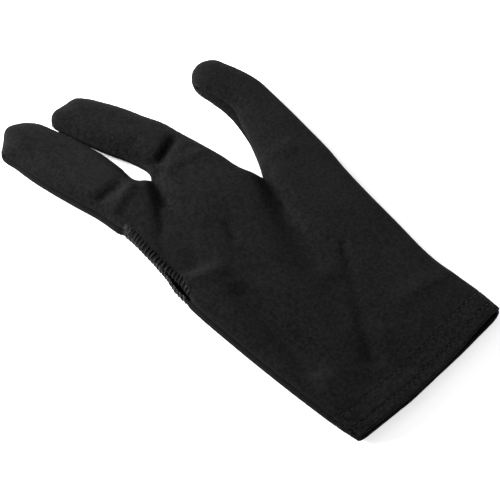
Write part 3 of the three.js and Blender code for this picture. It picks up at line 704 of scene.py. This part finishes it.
fine = []
for row in STITCH_ROWS:
    fine += list(np.arange(row - 1.2, row + 1.21, .3))
outer_mm = np.unique(np.round(np.r_[.45, 1.0, 1.8, 2.6, 5.9, 6.8, 7.7, 8.6, 9.5, [x for x in fine if .5 < x < 12.6], 12.9, HEM_REACH], 3))
skins = {mm: ring_skin(min(mm / HEM_WIDTH, 1) + max(mm - HEM_WIDTH, 0) / ROW_LENGTH[0]) for mm in outer_mm}
O = np.stack([skins[mm] for mm in outer_mm])              # from the cuff edge inwards
dr = np.roll(O, -1, 1) - np.roll(O, 1, 1)
du = np.gradient(O, axis=0)
N = np.cross(dr, du)
N /= np.maximum(np.linalg.norm(N, axis=-1, keepdims=True), 1e-9)


def rows_at(mm, depth, past=0.0):
    """Ring of points `depth` mm under the outer skin, `past` mm out of the cuff edge."""
    X = np.stack([np.stack([np.interp(mm, outer_mm, O[:, j, c]) for j in range(len(ring))]) for c in range(3)], -1)
    Nn = np.stack([np.stack([np.interp(mm, outer_mm, N[:, j, c]) for j in range(len(ring))]) for c in range(3)], -1)
    Nn /= np.linalg.norm(Nn, axis=-1, keepdims=True)
    along = O[0] - O[2]
    along /= np.linalg.norm(along, axis=-1, keepdims=True)
    return X - Nn * depth + along * past, Nn


# Stitch places round the ring for both rows.
def stitch_places(mm, pitch, phase):
    X, Nn = rows_at(mm, 0)
    loop = np.vstack([X, X[:1]])
    s = np.r_[0, np.cumsum(np.linalg.norm(np.diff(loop, axis=0), axis=1))]
    count = int(round(s[-1] / pitch))
    at = (np.arange(count) + phase) * s[-1] / count
    return s, loop, np.vstack([Nn, Nn[:1]]), at, s[-1] / count


rng = np.random.default_rng(7)
holes = []
hem_thread = Threads()
for row, phase in zip(STITCH_ROWS, (.2, .65)):
    s, loop, nn, at, step = stitch_places(row, HEM_PITCH, phase)
    pick = lambda q: np.stack([np.interp(q % s[-1], s, loop[:, c]) for c in range(3)], -1)
    pick_n = lambda q: np.stack([np.interp(q % s[-1], s, nn[:, c]) for c in range(3)], -1)
    holes += [pick(at + .24 * step), pick(at + .76 * step)]
    for a in at:
        reach = .40 + .05 * rng.normal()
        k = (arr([0, .06, .16, .32, .5, .68, .84, .94, 1]) * reach + .5 - reach / 2) * step
        h = arr([-.42, -.20, 0, .10, .13, .10, 0, -.20, -.42]) + .05 * rng.normal()
        side = np.cross(pick_n(a + k), np.gradient(pick(a + k), axis=0))
        side /= np.maximum(np.linalg.norm(side, axis=1, keepdims=True), 1e-9)
        off = rng.normal(0, .05) + rng.normal(0, .05) * (k / step - .5)
        hem_thread.strand(pick(a + k) + pick_n(a + k) * h[:, None] + side * off[:, None], .17, 6)
holes = np.vstack(holes)
stitch_mesh = hem_thread.mesh()

near_hole = np.full(O.shape[:2], 9.0)
for i in range(O.shape[0]):
    near_hole[i] = np.sqrt(((O[i][:, None] - holes[None]) ** 2).sum(-1)).min(1)
mm_grid = outer_mm[:, None] * np.ones((1, len(ring)))
groove = sum(.06 * np.exp(-((mm_grid - r) / .8) ** 2) for r in STITCH_ROWS)
dent = groove + .30 * np.exp(-(near_hole / .42) ** 2)
outer = O - N * dent[..., None]

LAYER, SLIT = .72, .06
full = 2 * LAYER + SLIT
loops = [outer[i] for i in range(len(outer_mm) - 1, -1, -1)]      # hem line to cuff edge, outside
# painted shade: the hem cloth is darkened in the needle holes at each stitch's ends
painted_shade_amount = [np.exp(-(near_hole[i] / .36) ** 2) for i in range(len(outer_mm) - 1, -1, -1)]
edge_mm = float(outer_mm[0])
for a in np.radians([25, 55, 90, 125, 155]):
    loops.append(rows_at(edge_mm, full / 2 * (1 - math.cos(a)), full / 2 * math.sin(a) * .8)[0])
for mm in (.45, 1.4, 3, 4.5, 6, 8, 10, 12, HEM_REACH - .1):
    loops.append(rows_at(mm, full)[0])
loops.append(rows_at(HEM_REACH, full - LAYER / 2)[0])
for mm in (HEM_REACH - .1, 8, 4.5, 1.4):
    loops.append(rows_at(mm, LAYER + SLIT)[0])
loops.append(rows_at(.9, LAYER + SLIT / 2)[0])
for mm in (1.4, 4.5, 8, HEM_REACH):
    loops.append(rows_at(mm, LAYER)[0])
painted_shade_amount += [np.zeros(len(ring))] * (len(loops) - len(painted_shade_amount))
G = np.stack(loops)
idx = np.arange(G.shape[0] * G.shape[1]).reshape(G.shape[:2])
nxt, dwn = np.roll(idx, -1, 1), np.roll(idx, -1, 0)
both = np.roll(nxt, -1, 0)
F = np.stack([idx, dwn, both, nxt], -1).reshape(-1, 4)
flat = np.zeros(G.shape)
gap = np.linalg.norm(np.roll(G[0], -1, 0) - G[0], axis=1)
flat[..., 0] = G[..., 0]
flat[..., 0] = (np.r_[0, np.cumsum(gap)[:-1]])[None]
flat[..., 1] = np.r_[0, np.cumsum(np.linalg.norm(np.diff(G[:, 100], axis=0), axis=1))][:, None]
hem_cloth = make_object("hem_cloth", G.reshape(-1, 3), F, knit_hem_painted_lighter,
                        attributes={"flat": flat.reshape(-1, 3), "painted_shade": np.stack(painted_shade_amount).ravel()})
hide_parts("cuff_hem")
hem_stitches = make_object("hem_stitches", *stitch_mesh, thread_hem)


# ------------------------------------------------------------ overlocked opening
def mouth_u():
    """u at even lengths along the edge of the opening."""
    u = np.linspace(MO[1, 0] + .02, MO[-2, 0] - .02, 400)
    X = on_skin(1, "M", u, 0 * u, 0 * u)[0]
    s = np.r_[0, np.cumsum(np.linalg.norm(np.diff(X, axis=0), axis=1))]
    return u, s


def lock(side, seed):
    """Overlock stitches: slanted looper strands over the edge, a needle line and a twisted edge."""
    rng = np.random.default_rng(seed)
    u0, s0 = mouth_u()
    count = int(s0[-1] / LOCK_PITCH)
    u_at = lambda s: np.interp(s, s0, u0)
    reach = lambda u: np.interp(u, MO[:, 0], MO[:, 1])                   # strip width, mm
    wide = lambda u: np.linalg.norm(plan("M", u, 0 * u + 1) - plan("M", u, 0 * u), axis=-1)
    out = Threads()

    def lay(s, f, h, radius):
        """s along the edge, f from the edge (0) to the needle line (1), h off the cloth."""
        u = u_at(np.clip(s, 0, s0[-1]))
        v = np.where(f >= 0, f * reach(u) / wide(u), f)                 # below 0: mm past the edge
        P, _ = on_skin(side, "M", u, v, h)
        out.strand(P, radius)

    f_path = arr([1.0, .93, .75, .5, .25, .06, -.22, -.34, -.22, .06, .3, .6, .85, 1.0])
    h_path = arr([-.15, .16, .27, .29, .27, .24, .12, -KNIT / 2, -KNIT - .12, -KNIT - .24, -KNIT - .27, -KNIT - .27, -KNIT - .2, -KNIT + .1])
    for k in range(count + 1):
        s = k * LOCK_PITCH
        j = rng.normal(0, 1, 5)
        lean = arr([0, .03, .1, .2, .3, .38, .44, .5, .56, .62, .7, .8, .92, 1.0]) * LOCK_PITCH * (.55 + .08 * j[4])
        reach_in = f_path * (1 + .05 * j[3])
        lay(s + .10 * j[0] + lean, reach_in, h_path + .03 * j[1], .22)
        lay(s + .35 + .10 * j[2] + lean * .8, reach_in * .9, h_path - .05, .16)
        t = np.linspace(0, 1, 9)
        lay(s + LOCK_PITCH * (t * .7 + .15), 1.0 + .04 * j[0] + 0 * t, .02 + .22 * np.sin(math.pi * t) - .12, .15)
    t = np.linspace(0, s0[-1], count * 14)
    for turn, radius, phase in ((1.0, .20, 0.0), (2.0, .15, 1.3)):
        w = t * 2 * math.pi / LOCK_PITCH * turn + phase
        lay(t, -.34 + .12 * np.cos(w), -KNIT / 2 + .36 * np.sin(w), radius)
    # the chain's end, tucked back along the strip towards the fingertip
    if side > 0:
        t = np.linspace(0, 1, 26)
        for k in range(5):
            j = rng.normal(0, 1, 3)
            f = .10 + .16 * k + .05 * np.sin(t * 9 + j[0])
            lay(s0[-1] - 5.5 + 5.4 * t + .3 * j[1], f, .30 + .16 * np.sin(t * math.pi) + .10 * np.cos(t * 11 + j[2]), .2)
    return out.mesh()


for side, name, node, thread in (
    (1, "overlock_back", "opening_edge_back", thread_lock),
    (-1, "overlock_palm", "opening_edge_palm", thread_lock_palm_painted_glint),
):
    ob = make_object(name, *lock(side, 11 + side), thread)
    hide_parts(node)

# ------------------------------------------------------------ floor, light, camera
def plain(name, colour, rough, glow):
    m = bpy.data.materials.new(name)
    m.use_nodes = True
    b = m.node_tree.nodes["Principled BSDF"]
    b.inputs["Base Color"].default_value = colour + (1,)
    b.inputs["Roughness"].default_value = rough
    b.inputs["Specular IOR Level"].default_value = .2
    b.inputs["Emission Color"].default_value = (1, 1, 1, 1)
    b.inputs["Emission Strength"].default_value = glow
    return m


me = bpy.data.meshes.new("floor")
r = 6.0
me.from_pydata([(-r, -r, -.0002), (r, -r, -.0002), (r, r, -.0002), (-r, r, -.0002)], [], [(0, 1, 2, 3)])
floor = bpy.data.objects.new("floor", me)
bpy.context.scene.collection.objects.link(floor)
me.materials.append(plain("floor_white", (.93, .93, .93), .9, .45))

world = bpy.data.worlds.new("studio")
bpy.context.scene.world = world
world.use_nodes = True
world.node_tree.nodes["Background"].inputs[0].default_value = (1, 1, 1, 1)
world.node_tree.nodes["Background"].inputs[1].default_value = .28


def area(name, where, aim, size, power):
    data = bpy.data.lights.new(name, "AREA")
    data.shape = "RECTANGLE"
    data.size, data.size_y = size
    data.energy = power
    ob = bpy.data.objects.new(name, data)
    bpy.context.scene.collection.objects.link(ob)
    p = arr(where)
    z = p - arr(aim)
    z /= np.linalg.norm(z)
    x = np.cross((0, 0, 1), z)
    x /= np.linalg.norm(x)
    y = np.cross(z, x)
    ob.matrix_world = Matrix([(x[0], y[0], z[0], p[0]), (x[1], y[1], z[1], p[1]), (x[2], y[2], z[2], p[2]), (0, 0, 0, 1)])
    return ob


area("light_left", (-.50, .66, .36), (0, .02, 0), (.5, .3), 17)
area("light_far", (-.10, .56, .22), (.03, .12, 0), (.4, .2), 12)
area("light_top", (-.3, .3, 1.5), (0, .01, 0), (1.2, 1.2), 3)
area("light_cuff", (.14, -.62, .16), (.01, -.13, 0), (.4, .2), 2.6)

AZ, EL, DISTANCE, FOCAL = -52.7, 47.0, 810.0, 1890.0
a, e = math.radians(AZ), math.radians(EL)
back = arr([math.sin(a) * math.cos(e), -math.cos(a) * math.cos(e), math.sin(e)])
right = arr([math.cos(a), math.sin(a), 0])
up = np.cross(back, right)
place = (arr([-CENTRE[0], -CENTRE[1], 0]) + back * DISTANCE) / 1000
data = bpy.data.cameras.new("camera")
data.sensor_fit = "HORIZONTAL"
data.sensor_width = 36.0
data.lens = FOCAL / 500 * 36.0
data.clip_start, data.clip_end = .01, 50
camera = bpy.data.objects.new("camera", data)
bpy.context.scene.collection.objects.link(camera)
camera.matrix_world = Matrix([(right[i], up[i], back[i], place[i]) for i in range(3)] + [(0, 0, 0, 1)])
bpy.context.scene.camera = camera
bpy.context.scene.view_settings.view_transform = "Standard"

bpy.context.view_layer.update()
